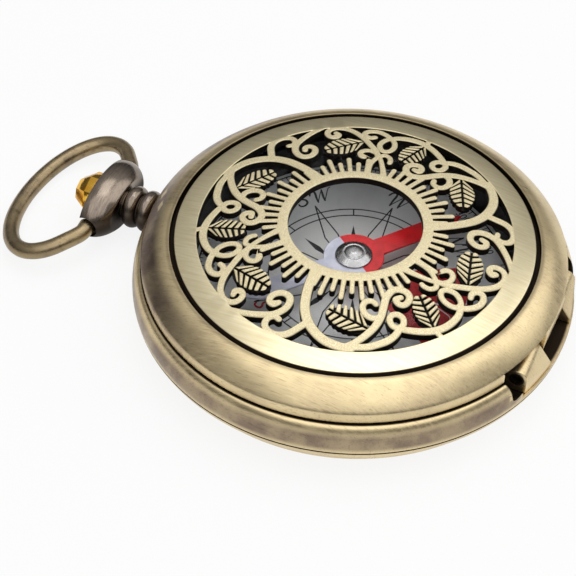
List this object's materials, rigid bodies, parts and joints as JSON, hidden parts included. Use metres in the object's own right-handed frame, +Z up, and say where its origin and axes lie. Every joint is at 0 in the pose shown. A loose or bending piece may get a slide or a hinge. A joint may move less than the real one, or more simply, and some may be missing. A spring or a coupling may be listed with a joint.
{
  "type": "pocket compass",
  "caption": "Watch-style magnetic compass: round bronze case, domed pierced vine lid on a hinge with a round window, ball pendant with push button and swinging oval bow.",
  "frame": {"origin": "centre of the flat back face, on the case's round axis", "axes": "+Z up through the lid, +Y out along the pendant, hinge at -Y, +X to the right seen from above with the pendant away"},
  "size_m": [0.0472, 0.0645, 0.0117],
  "materials": {
    "case_bronze": "brushed antique bronze, darkened in the grooves",
    "openwork_bronze": "sandy cream-gold tops with dark antiqued sides",
    "dark_bronze": "dark bronze with fine brush lines",
    "polished_gold": "polished",
    "steel": "fine satin",
    "black_plastic": "matt black",
    "crystal": "clear",
    "dial": "printed silver grey",
    "needle_paint": "red north half, white south half",
    "jewel": "polished"
  },
  "bodies": {
    "case": {"back_cover": "case_bronze", "mid_case": "case_bronze", "spacer_ring": "black_plastic", "capsule_cup": "black_plastic", "dial_card": "dial", "pivot_pin": "steel", "crystal": "crystal", "crystal_ring": "black_plastic", "lift_spring": "steel", "case_knuckle_left": "case_bronze", "case_knuckle_right": "case_bronze", "hinge_pin": "steel", "pendant_neck": "dark_bronze", "pendant_knob": "dark_bronze"},
    "lid": {"lid_bezel": "case_bronze", "lid_grille": "openwork_bronze", "lid_knuckle": "case_bronze"},
    "needle": {"needle_blade": "needle_paint", "needle_hub": "steel", "needle_jewel": "jewel"},
    "button": {"button_cap": "polished_gold", "button_stem": "steel"},
    "latch": {"lock_spring": "steel"},
    "bow": {"bow": "dark_bronze"}
  },
  "joints": [
    {"name": "lid_hinge", "type": "hinge", "parent": "case", "child": "lid", "pos_m": [0, -0.02095, 0.0056], "axis": [1, 0, 0], "range_deg": [0, 90]},
    {"name": "button_press", "type": "slide", "parent": "case", "child": "button", "axis": [0, -1, 0], "range_m": [0, 0.0008], "stiffness_N_per_m": 300},
    {"name": "latch_slide", "type": "slide", "parent": "case", "child": "latch", "axis": [0, -1, 0], "range_m": [0, 0.0008]},
    {"name": "bow_swing", "type": "hinge", "parent": "case", "child": "bow", "pos_m": [0, 0.02985, 0.0034], "axis": [1, 0, 0], "range_deg": [-104, 136]},
    {"name": "needle_spin", "type": "hinge", "parent": "case", "child": "needle", "pos_m": [0, 0, 0.00655], "axis": [0, 0, 1], "continuous": true}
  ],
  "couplings": [
    {"joint": "latch_slide", "follows": "button_press", "ratio": 1}
  ]
}
